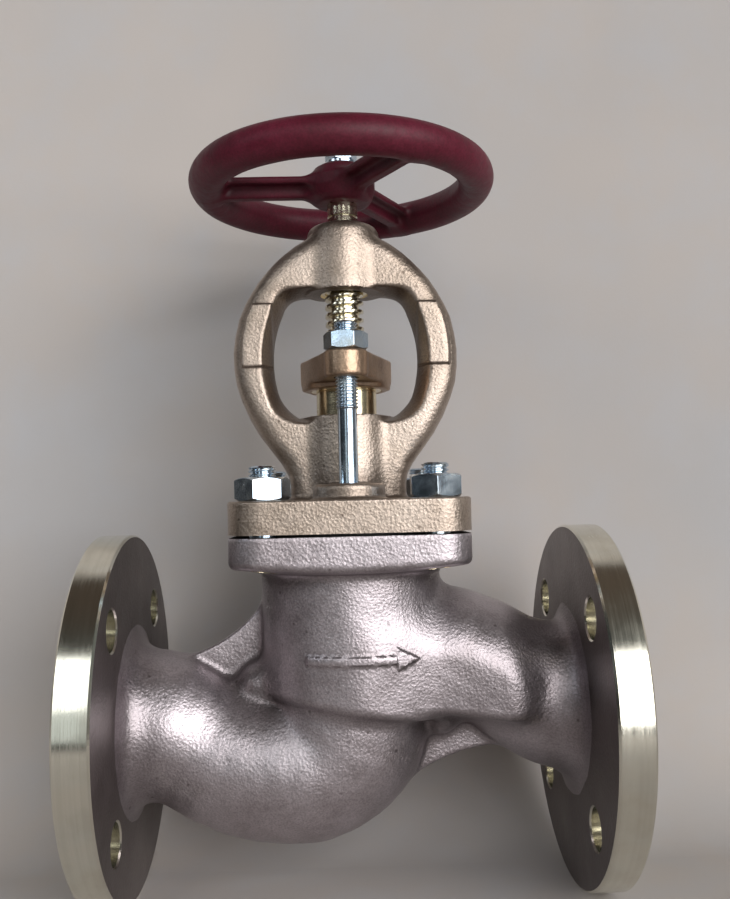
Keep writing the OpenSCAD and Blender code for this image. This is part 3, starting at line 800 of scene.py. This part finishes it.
def finish_cast(ob, f, classes, keys, painted_shade=None):
    """Gives every face a material by where it lies, takes exact normals from the distance field on cast faces,
    and stores painted shade for hollows, partly grime, in a corner attribute. classes is a list of (key, test, normal):
    the first test that holds wins; the last is cast."""
    me = ob.data
    co, li, ls, lt, nr, ce = arrays(me)
    p = len(ls)
    cls = np.full(p, -1)
    for i, (key, test, _) in enumerate(classes):
        m = test(ce, nr)
        cls[(cls < 0) & m] = i
    cls[cls < 0] = len(classes)
    idx_of = {k: i for i, k in enumerate(keys)}
    mat_idx = np.array([idx_of[c[0]] for c in classes] + [0])
    me.materials.clear()
    for k in keys:
        me.materials.append(M[k])
    me.polygons.foreach_set("material_index", mat_idx[cls].astype(np.int32))
    me.polygons.foreach_set("use_smooth", np.ones(p, bool))
    fl = np.repeat(np.arange(p), lt)
    g, val = grad(f, co)
    g = np.nan_to_num(g)
    ln = nr[fl].copy()
    c_l = cls[fl]
    cast = c_l == len(classes)
    gl = g[li]
    okk = cast & ((gl * ln).sum(1) > 0.55) & (np.abs(val[li]) < 0.8)
    ln[okk] = gl[okk]
    for i, (key, test, normal) in enumerate(classes):
        if normal is None:
            continue
        m = c_l == i
        if m.any():
            nn = normal(co[li[m]], nr[fl[m]])
            good = (nn * nr[fl[m]]).sum(1) > 0.5
            out = nr[fl[m]].copy(); out[good] = nn[good]
            ln[m] = out
    # painted shade in hollows (ambient occlusion), partly grime: how much closer than expected the surface comes in
    # front of a point
    shade_grime = np.zeros(len(co))
    for dist, w in ((3.0, 0.4), (8.0, 0.35), (16.0, 0.25)):
        q = (co + g * dist)
        shade_grime += w * np.clip(1 - f(q[:, 0], q[:, 1], q[:, 2]) / dist, 0, 1)
    shade_grime = np.clip(shade_grime * 1.3, 0, 1)
    if painted_shade is not None:
        shade_grime = np.maximum(shade_grime, painted_shade(co, g))
    at = me.attributes.new("shade_grime", "FLOAT", "CORNER")
    at.data.foreach_set("value", np.where(cast & (np.abs(val[li]) < 0.8), shade_grime[li], 0).astype(F))
    me.normals_split_custom_set(ln.astype(F))
    me.update()
    return ob


# zero painted shade for parts that have none
def no_shade_grime(ob):
    at = ob.data.attributes.new("shade_grime", "FLOAT", "POINT")
    at.data.foreach_set("value", np.zeros(len(ob.data.vertices), F))
    return ob


NUT_AF = 21.0
PACK_N, PACK_LO, PACK_HI = 4, 103.02, 125.95

# ---------------------------------------------------------------- build: body

def build_body():
    P, q = mesh_field(sd_body, (-107, -58, -66), (107, 58, 87), 1.2)
    ob = make("valve_body", P, q)
    for s in (-1, 1):
        prof = [(0, BX), (RF - 0.9, BX), (RF, BX + 0.9), (RF, FX - 0.9), (RF - 0.9, FX)]
        for g in (42.4, 38.4, 34.4):
            prof += [(g, FX), (g - 0.7, FX - 0.6), (g - 1.4, FX)]
        prof += [(0, FX)]
        fl = lathe("fl", [(r, s * h) for r, h in prof], 240, axis=PIPE)
        boolean(ob, fl, "UNION")
    P, q = mesh_field(sd_passage, (-128, -32, -56), (128, 32, 62), 2.4)
    boolean(ob, make("pass", P, q), "DIFFERENCE")
    for s in (-1, 1):
        boolean(ob, lathe("bore", [(0, s * 84), (25, s * 84), (25, s * (FX - 0.8)), (27, s * (FX + 1.2)), (0, s * (FX + 1.2))], 128, axis=PIPE), "DIFFERENCE")
    boolean(ob, lathe("chamber", [(0, -5), (29, -5), (29, 10), (34, 10), (34, 80.5), (36, 82.5), (60, 84), (60, 90), (0, 90)], 128), "DIFFERENCE")
    boolean(ob, block("top", (-60, -60, 81.3), (60, 60, 95)), "DIFFERENCE")
    holes = []
    for s in (-1, 1):
        for a in (45, 135, 225, 315):
            c = (62.5 * math.cos(math.radians(a)), 62.5 * math.sin(math.radians(a)))
            h0, h1 = sorted((s * BX, s * FX))
            holes.append(cyl("h", 9, h0, h1, c, PIPE, 64, ch=0.7))
    boolean(ob, join("holes", holes), "DIFFERENCE")
    boolean(ob, join("studs", [lathe("h", [(0, 60), (5.95, 60), (5.95, 80.6), (7.4, 82.05), (0, 82.05)], 40, (sx * 36.9, sy * 36.9)) for sx in (-1, 1) for sy in (-1, 1)]), "DIFFERENCE")

    def rr(c):
        return np.sqrt(c[:, 1] ** 2 + c[:, 2] ** 2)

    def hole_c(c):
        y = np.sign(c[:, 1]) * 62.5 * math.sqrt(0.5); z = np.sign(c[:, 2]) * 62.5 * math.sqrt(0.5)
        return np.stack([np.zeros(len(c)), c[:, 1] - y, c[:, 2] - z], 1)

    def unit(v):
        return v / np.maximum(np.linalg.norm(v, axis=1), 1e-9)[:, None]

    def t_hole(c, n):
        return (np.abs(c[:, 0]) > BX - 0.05) & (np.linalg.norm(hole_c(c), axis=1) < 9.75)

    def t_bore(c, n):
        return (np.abs(c[:, 0]) > 84) & (np.abs(rr(c) - 25) < 0.03) | (np.abs(c[:, 0]) > FX - 1) & (rr(c) < 26.5)

    def t_rim(c, n):
        return (np.abs(c[:, 0]) > BX + 0.5) & (rr(c) > RF - 0.95)

    def t_back(c, n):
        return (np.abs(np.abs(c[:, 0]) - BX) < 0.02) & (np.abs(n[:, 0]) > 0.99)

    def t_face(c, n):
        return np.abs(c[:, 0]) > BX + 0.3

    def t_top(c, n):
        return (c[:, 2] > 81.25)

    def t_stud(c, n):
        return (np.hypot(np.abs(c[:, 0]) - 36.9, np.abs(c[:, 1]) - 36.9) < 7.5) & (sd_body(c[:, 0], c[:, 1], c[:, 2]) < -0.3) & (c[:, 2] > 59.9)

    def t_in(c, n):
        return (sd_body(c[:, 0], c[:, 1], c[:, 2]) < -1.5)

    def n_in(p, n):
        g, _ = grad(sd_passage, p)
        r = np.hypot(p[:, 0], p[:, 1])
        rad = unit(-np.stack([p[:, 0], p[:, 1], 0 * r], 1))
        cylm = (np.abs(r - 34) < 0.05) & (p[:, 2] > 9.9)
        flat = np.abs(n[:, 2]) > 0.95
        out = np.where(cylm[:, None], rad, -g)
        return np.where(flat[:, None], n, out)

    def n_rim(p, n):
        v = unit(np.stack([np.zeros(len(p)), p[:, 1], p[:, 2]], 1))
        return np.where((np.abs(n[:, 0]) < 0.2)[:, None], v, unit(v * np.sqrt(0.5) + np.sign(p[:, 0])[:, None] * np.array([[1.0, 0, 0]]) * np.sqrt(0.5) * np.sign(np.abs(p[:, 0]) - 107.5)[:, None]))

    classes = [
        # flange backs take the darker bronze: painted shade, partly a darker skin
        ("flange_back", t_back, None),
        ("brass_pipe", t_hole, lambda p, n: np.where((np.abs(n[:, 0]) < 0.2)[:, None], -unit(hole_c(p)), n)),
        ("brass_pipe", t_bore, lambda p, n: np.where((np.abs(n[:, 0]) < 0.2)[:, None], -unit(np.stack([0 * p[:, 0], p[:, 1], p[:, 2]], 1)), n)),
        ("brass_pipe", t_rim, n_rim),
        ("brass_pipe", t_face, None),
        # the body's mating face is coloured near black: painted shade in the joint gap
        ("joint", t_top, None),
        ("brass", t_stud, None),
        ("inside", t_in, n_in),
    ]
    finish_cast(ob, sd_body, classes, ["body", "brass_pipe", "flange_back", "brass", "inside", "joint"])
    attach(ob, "valve_body")
    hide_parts("body")
    return ob


def build_bonnet():
    P, q = mesh_field(sd_bonnet, (-56, -56, 79), (56, 56, 226), 1.0)
    ob = make("valve_bonnet", P, q)
    boolean(ob, block("under", (-60, -60, 70), (60, 60, 82.6)), "DIFFERENCE")
    boolean(ob, lathe("spigot", [(0, 74.3), (33.1, 74.3), (33.9, 75.1), (33.9, 84), (0, 84)], 128), "UNION")
    boolean(ob, lathe("hollow", [(0, 73), (29.5, 73), (29.5, 80.3), (14, 90.2), (13, 90.2), (13, 101), (14, 101), (14, 132.7), (15.3, 134), (15.3, 150), (0, 150)], 96), "DIFFERENCE")
    boolean(ob, lathe("bushbore", [(0, 150), (0, 189), (11, 189), (11, 222.6), (12.2, 223.8), (12.2, 228), (0, 228)], 96), "DIFFERENCE")
    hs = [lathe("h", [(0, 80), (6.75, 80), (6.75, 96.2), (8.4, 97.85), (8.4, 99), (0, 99)], 48, (sx * 36.9, sy * 36.9)) for sx in (-1, 1) for sy in (-1, 1)]
    hs += [lathe("h", [(0, 87.5), (4.98, 87.5), (4.98, 102.6), (6.6, 104.2), (0, 104.2)], 40, (0, sy * 32)) for sy in (-1, 1)]
    boolean(ob, join("holes", hs), "DIFFERENCE")
    g = lathe("grub", [(0, 10), (2.5, 10), (2.5, 22), (0, 22)], 32)
    me = g.data
    co = np.zeros(len(me.vertices) * 3, F); me.vertices.foreach_get("co", co); co = co.reshape(-1, 3) * 1000; co[:, 2] -= PZ
    co = np.stack([co[:, 0], co[:, 2], 207 - co[:, 1]], 1)
    me.vertices.foreach_set("co", push(co).astype(F).ravel()); me.update(); fix_out(g)
    boolean(ob, g, "DIFFERENCE")

    def unit(v):
        return v / np.maximum(np.linalg.norm(v, axis=1), 1e-9)[:, None]

    def radial(p, n):
        return np.where((np.abs(n[:, 2]) < 0.3)[:, None], unit(np.stack([p[:, 0], p[:, 1], 0 * p[:, 0]], 1)), n)

    classes = [
        # the bonnet's mating face is coloured near black: painted shade in the joint gap
        ("joint", lambda c, n: (np.abs(c[:, 2] - 82.6) < 0.04) & (n[:, 2] < -0.9), None),
        ("brass", lambda c, n: c[:, 2] < 82.55, radial),
        ("brass", lambda c, n: (np.hypot(c[:, 0], c[:, 1]) < 16) & (c[:, 2] < 134.2) & (sd_bonnet(c[:, 0], c[:, 1], c[:, 2]) < -0.2), lambda p, n: np.where((np.abs(n[:, 2]) < 0.3)[:, None], -unit(np.stack([p[:, 0], p[:, 1], 0 * p[:, 0]], 1)), n)),
        ("brass", lambda c, n: (sd_bonnet(c[:, 0], c[:, 1], c[:, 2]) < -0.35), None),
        ("brass", lambda c, n: (c[:, 2] > 133.3) & (c[:, 2] < 134.2) & (np.hypot(c[:, 0], c[:, 1]) < 19.6) & (n[:, 2] > 0.9), None),
    ]

    def painted_shade(c, n):
        """Painted shade on the faces that look into the yoke window, and on those under its top."""
        inward = np.clip(-n[:, 0] * np.sign(c[:, 0]) * 1.3 - 0.25, 0, 1) * (np.abs(c[:, 0]) > 18)
        under = np.clip(-n[:, 2] * 1.4 - 0.2, 0, 1) * (c[:, 2] > 180)
        return np.maximum(inward, under) * ((c[:, 2] > 128) & (c[:, 2] < 196)) * 0.9

    finish_cast(ob, sd_bonnet, classes, ["bonnet", "brass", "joint"], painted_shade)
    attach(ob, "valve_body")
    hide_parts("bonnet")
    return ob


def build_gland():
    P, q = mesh_field(sd_gland, (-26, -46, 143), (26, 46, 165), 0.8)
    ob = make("gland_flange_cast", P, q)
    boolean(ob, lathe("bore", [(0, 144), (16.6, 144), (16.6, 150.02), (10, 150.02), (10, 160.0), (11.2, 161.2), (11.2, 165), (0, 165)], 96), "DIFFERENCE")
    boolean(ob, join("h", [lathe("h", [(0, 144), (5.5, 144), (5.5, 165), (0, 165)], 48, (0, sy * 32)) for sy in (-1, 1)]), "DIFFERENCE")
    inner = lambda c, n: sd_gland(c[:, 0], c[:, 1], c[:, 2]) < -0.3
    finish_cast(ob, sd_gland, [("brass", inner, None)], ["gland", "brass"])
    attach(ob, "gland_assembly"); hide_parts("gland_flange")
    return ob


def build_wheel():
    P, q = mesh_field(sd_wheel, (-73, -73, 230), (73, 73, 256), 0.95)
    ob = make("handwheel_cast", P, q)
    boolean(ob, block("sq", (-5.55, -5.55, 225), (5.55, 5.55, 262)), "DIFFERENCE")
    finish_cast(ob, sd_wheel, [("paint", lambda c, n: sd_wheel(c[:, 0], c[:, 1], c[:, 2]) < -0.3, None)], ["paint"])
    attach(ob, "stem_assembly"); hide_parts("handwheel")
    return ob


def place(ob, key, body, node, angle=32):
    give(ob, key); smooth(ob, angle); no_shade_grime(ob)
    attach(ob, body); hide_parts(node)
    return ob


def build_small():
    # stem with its trapezoidal screw, square and top screw
    st = threaded_rod("stem_bar", [(20.05, 20.06, 6.5, 0, 0, 0), (22.05, 26, 9, 0, 0, 0), (26, 29, 5.5, 0, 0, 0), (29, 67, 9, 0, 0, 0), (70, 76, 12, 0, 0, 0),
                                   (79, 165.6, 9, 0, 0, 0), (166, 223.9, 8.97, 4.0, 2.1, 0.34), (224.2, 227.2, 7, 0, 0, 0), (227.35, 228.15, 6.2, 0, 0, 0), (228.3, 233.99, 7, 0, 0, 0), (233.99, 251.6, 3.9, 0, 0, 0), (251.8, 262.7, 3.95, 1.25, 0.66, 0.42), (263.5, 263.51, 3.2, 0, 0, 0)], 72)
    sq = block("sq", (-5.5, -5.5, 233.5), (5.5, 5.5, 252.3))
    boolean(sq, lathe("r", [(0, 233), (6.95, 233), (6.95, 251.7), (6.35, 252.31), (0, 252.31)], 64), "INTERSECT")
    boolean(st, sq, "UNION")
    place(st, "stem", "stem_assembly", "stem", 30)
    # gland follower
    fo = lathe("gland_follower_turned", [(9.2, 126.6), (9.8, 126), (13.35, 126), (13.95, 126.6), (13.95, 147), (16.1, 147), (16.5, 147.4), (16.5, 149.6), (16.1, 150), (9.8, 150), (9.2, 149.4)], 128)
    place(fo, "brass", "gland_assembly", "gland_follower")
    ga = lathe("joint_gasket", [(34.1, 81.32), (43.3, 81.32), (43.5, 81.6), (43.5, 82.3), (43.3, 82.58), (34.1, 82.58)], 128)
    place(ga, "gasket", "valve_body", "bonnet_gasket")
    # bonnet studs and nuts
    ss, ns = [], []
    rots = {(-1, -1): 14.9, (1, -1): 29.3, (-1, 1): 3.0, (1, 1): 41.0}
    for (sx, sy), rot in rots.items():
        s = threaded_rod("s", [(69.0, 69.01, 5.0, 0, 0, 0), (69.9, 81.2, 5.9, 1.75, 0.9, 0.5), (81.3, 93, 5.9, 0, 0, 0), (93.2, 110.9, 5.9, 1.75, 0.95, 0.5), (111.6, 111.61, 5.0, 0, 0, 0)], 40)
        ss.append(shift(s, sx * 36.9, sy * 36.9))
        ns.append(nut("n", NUT_AF, 96.86, 9.9, 5.96, math.radians(rot), (sx * 36.9, sy * 36.9)))
    place(join("bonnet_stud_set", ss), "zinc", "valve_body", "bonnet_studs", 36)
    place(join("bonnet_nut_set", ns), "zinc", "valve_body", "bonnet_nuts", 22)
    ss, ns = [], []
    for sy, rot in ((-1, 50.5), (1, 12.0)):
        s = threaded_rod("s", [(88.0, 88.01, 4.2, 0, 0, 0), (88.7, 103.2, 4.93, 1.5, 0.8, 0.5), (103.7, 135.6, 4.2, 0, 0, 0), (136.2, 172.8, 4.93, 1.5, 0.8, 0.5), (173.6, 173.61, 4.0, 0, 0, 0)], 40)
        ss.append(shift(s, 0, sy * 32))
        ns.append(nut("n", 17, 161.14, 7.7, 4.99, math.radians(rot), (0, sy * 32)))
    place(join("gland_stud_set", ss), "zinc", "valve_body", "gland_studs", 36)
    place(join("gland_nut_set", ns), "zinc", "gland_assembly", "gland_nuts", 22)
    wa = lathe("wheel_washer", [(4.1, 252.52), (7.3, 252.52), (7.5, 252.7), (7.5, 253.8), (7.3, 254.0), (4.1, 254.0)], 64)
    place(wa, "zinc", "stem_assembly", "handwheel_washer")
    wn = nut("wheel_nut", 13, 254.0, 6.5, 3.98, math.radians(8), (0, 0))
    place(wn, "zinc", "stem_assembly", "handwheel_nut", 22)
    # packing rings, soft, pressed down when the gland is taken up
    rings = []
    for i in range(PACK_N):
        z0, z1 = PACK_LO + (PACK_HI - PACK_LO) * i / PACK_N, PACK_LO + (PACK_HI - PACK_LO) * (i + 1) / PACK_N
        z0 += 0.05; z1 -= 0.05
        rings.append(lathe("ring", [(9.06, z0 + 0.7), (9.5, z0 + 0.15), (10.2, z0), (12.8, z0), (13.5, z0 + 0.15), (13.94, z0 + 0.7),
                                    (13.94, z1 - 0.7), (13.5, z1 - 0.15), (12.8, z1), (10.2, z1), (9.5, z1 - 0.15), (9.06, z1 - 0.7)], 96))
    pk = join("packing_set", rings)
    place(pk, "packing", "valve_body", "packing_rings", 40)
    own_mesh(pk)
    # inner pieces that keep the shape of the frame
    for node, key in (("seat_ring", "brass"), ("disc", "brass"), ("disc_nut", "brass"), ("back_seat_bush", "brass"), ("yoke_bush", "brass"),
                      ("split_ring", "steel"), ("disc_pin", "steel"), ("bush_screw", "steel")):
        o = frame["nodes"][node]
        for i in range(len(o.material_slots)):
            o.material_slots[i].material = M[key]


build_body()
build_bonnet()
build_gland()
build_wheel()
build_small()

# ---------------------------------------------------------------- stage, light, camera

scene = bpy.context.scene


def pale(k, fade):
    """Pale mottled board, with painted light that lightens it towards -x and darkens it towards +x; with fade, it is
    clear from its back and far from the object.
    """
    a = k.noise(5.0, 3, 0.5)
    c = k.noise(22.0, 4, 0.6)
    b = k.noise(420, 3, 0.6)
    col = k.ramp(a, [(0.3, (0.49, 0.475, 0.475)), (0.5, (0.53, 0.487, 0.46)), (0.7, (0.57, 0.518, 0.485))])
    col = k.mix(k.remap(c, 0.45, 0.7, 0, 0.35), col, (0.50, 0.51, 0.54))
    xyz = k.n("ShaderNodeSeparateXYZ"); k.link(k.co, xyz.inputs[0])
    # painted light: the board is lighter towards -x and darker towards +x
    tone = k.remap(xyz.outputs[0], -0.24, 0.16, 1.12, 0.87)
    painted_side_light = k.n("ShaderNodeCombineXYZ")
    for i in range(3):
        k.link(tone, painted_side_light.inputs[i])
    col = k.mix(1.0, col, painted_side_light.outputs[0], "MULTIPLY")
    k.set(base=col, rough=0.9, normal=k.bump(b, 0.12, 0.0004))
    t = k.m.node_tree
    out = next(n for n in t.nodes if n.type == "OUTPUT_MATERIAL")
    bsdf = next(n for n in t.nodes if n.type == "BSDF_PRINCIPLED")
    length = t.nodes.new("ShaderNodeVectorMath"); length.operation = "LENGTH"
    k.link(k.co, length.inputs[0])
    far = k.remap(length.outputs["Value"], fade, fade * 1.6, 0.0, 1.0)
    geo = t.nodes.new("ShaderNodeNewGeometry")
    clear = t.nodes.new("ShaderNodeBsdfTransparent")
    mixs = t.nodes.new("ShaderNodeMixShader")
    t.links.new(k.math("MAXIMUM", geo.outputs["Backfacing"], far), mixs.inputs[0])
    t.links.new(bsdf.outputs[0], mixs.inputs[1])
    t.links.new(clear.outputs[0], mixs.inputs[2])
    t.links.new(mixs.outputs[0], out.inputs["Surface"])
    return k.m


def stage_sheet():
    """A pale floor, and a pale sheet that curves up from it close behind and is only seen from its front."""
    yw, rb = 0.112, 0.09
    floor = make("stage_floor", np.array([(-2, -2, 0), (2, -2, 0), (2, 2, 0), (-2, 2, 0)], float), [(0, 1, 2, 3)], raw=True)
    floor.data.materials.append(pale(Mat("pale_floor"), 0.62))
    pts = [(yw - rb + rb * math.sin(math.pi / 2 * i / 24), 0.0002 + rb - rb * math.cos(math.pi / 2 * i / 24)) for i in range(25)] + [(yw, 2.0)]
    P = [(x, y, z) for x in (-2.0, 2.0) for y, z in pts]
    n = len(pts)
    sheet = make("stage_sheet", np.array(P), [(i, n + i, n + i + 1, i + 1) for i in range(n - 1)], raw=True)
    sheet.data.materials.append(pale(Mat("pale_sheet"), 0.62))
    sheet.data.polygons.foreach_set("use_smooth", np.ones(n - 1, bool))


stage_sheet()


def area(name, loc, target, size, energy, color=(1, 1, 1), size_y=None):
    l = bpy.data.lights.new(name, "AREA")
    l.energy = energy; l.color = color; l.size = size
    if size_y:
        l.shape = "RECTANGLE"; l.size_y = size_y
    o = bpy.data.objects.new(name, l)
    scene.collection.objects.link(o)
    o.location = loc
    o.rotation_euler = (Vector(target) - Vector(loc)).to_track_quat("-Z", "Y").to_euler()
    return o


MID = (0, 0, 0.17)
area("window", (0.72, -1.22, 0.54), MID, 1.45, 22, (1.0, 0.99, 0.985), size_y=1.0)
area("strip", (-0.56, -1.30, 0.84), (-0.1, 0, 0.10), 0.32, 2.2, (0.97, 1.0, 1.0), size_y=0.8)
area("low", (-0.55, -1.30, 0.22), (-0.1, 0, 0.10), 0.32, 0.27, (0.93, 1.0, 1.0), size_y=0.40)
area("left", (-1.5, -0.9, 0.9), (-0.2, 0.1, 0.15), 0.5, 2.6, (0.86, 0.93, 1.0))


def world():
    """A dim room: dull green-brown overhead, warm dark below, lighter in front."""
    w = bpy.data.worlds.new("world"); scene.world = w; w.use_nodes = True
    t = w.node_tree
    bg = t.nodes["Background"]
    tc = t.nodes.new("ShaderNodeTexCoord")
    sp = t.nodes.new("ShaderNodeSeparateXYZ"); t.links.new(tc.outputs["Generated"], sp.inputs[0])
    cr = t.nodes.new("ShaderNodeValToRGB")
    r = cr.color_ramp
    stops = [(0.0, (0.10, 0.085, 0.075)), (0.45, (0.24, 0.23, 0.21)), (0.55, (0.34, 0.34, 0.33)), (0.72, (0.33, 0.37, 0.36)), (0.88, (0.24, 0.24, 0.22)), (1.0, (0.33, 0.245, 0.19))]
    while len(r.elements) < len(stops):
        r.elements.new(0.5)
    for e, (p, c) in zip(r.elements, stops):
        e.position = p; e.color = (*c, 1)
    mr = t.nodes.new("ShaderNodeMapRange")
    for i, q in zip((1, 2, 3, 4), (-1, 1, 0, 1)):
        mr.inputs[i].default_value = q
    t.links.new(sp.outputs[2], mr.inputs[0]); t.links.new(mr.outputs[0], cr.inputs[0])
    mx = t.nodes.new("ShaderNodeMapRange")
    for i, q in zip((1, 2, 3, 4), (-1, 1, 0.25, 1.35)):
        mx.inputs[i].default_value = q
    t.links.new(sp.outputs[0], mx.inputs[0])
    mul = t.nodes.new("ShaderNodeMix"); mul.data_type = "RGBA"; mul.blend_type = "MULTIPLY"
    mul.inputs[0].default_value = 1.0
    t.links.new(cr.outputs[0], mul.inputs[6]); t.links.new(mx.outputs[0], mul.inputs[7])
    lp = t.nodes.new("ShaderNodeLightPath")
    see = t.nodes.new("ShaderNodeMix"); see.data_type = "RGBA"
    see.inputs[7].default_value = (1.48, 1.41, 1.375, 1)
    t.links.new(lp.outputs["Is Camera Ray"], see.inputs[0])
    t.links.new(mul.outputs[2], see.inputs[6])
    t.links.new(see.outputs[2], bg.inputs[0])
    bg.inputs[1].default_value = 0.28


world()

# camera of the photograph's view: in front, level with the bonnet joint
from mathutils import Matrix
C = Vector((-2.866, -436.457, 95.470 + PZ)) / 1000.0
right = Vector((0.99944582, -0.02375621, -0.02331745))
down = Vector((-0.02307267, 0.01052659, -0.99967837))
fwd = Vector((0.02399402, 0.99966236, 0.00997264))
cam = bpy.data.cameras.new("camera")
co = bpy.data.objects.new("camera", cam)
scene.collection.objects.link(co)
up, back = -down, -fwd
co.matrix_world = Matrix(((right.x, up.x, back.x, C.x), (right.y, up.y, back.y, C.y), (right.z, up.z, back.z, C.z), (0, 0, 0, 1)))
cam.sensor_width = 36.0
cam.sensor_fit = "AUTO"
cam.lens = 936.845 / 899.0 * 36.0
cam.shift_y = 43.0 / 899.0
cam.clip_start = 0.01; cam.clip_end = 50
scene.camera = co
scene.view_settings.view_transform = "Standard"
scene.view_settings.look = "None"
scene.view_settings.exposure = 0.0
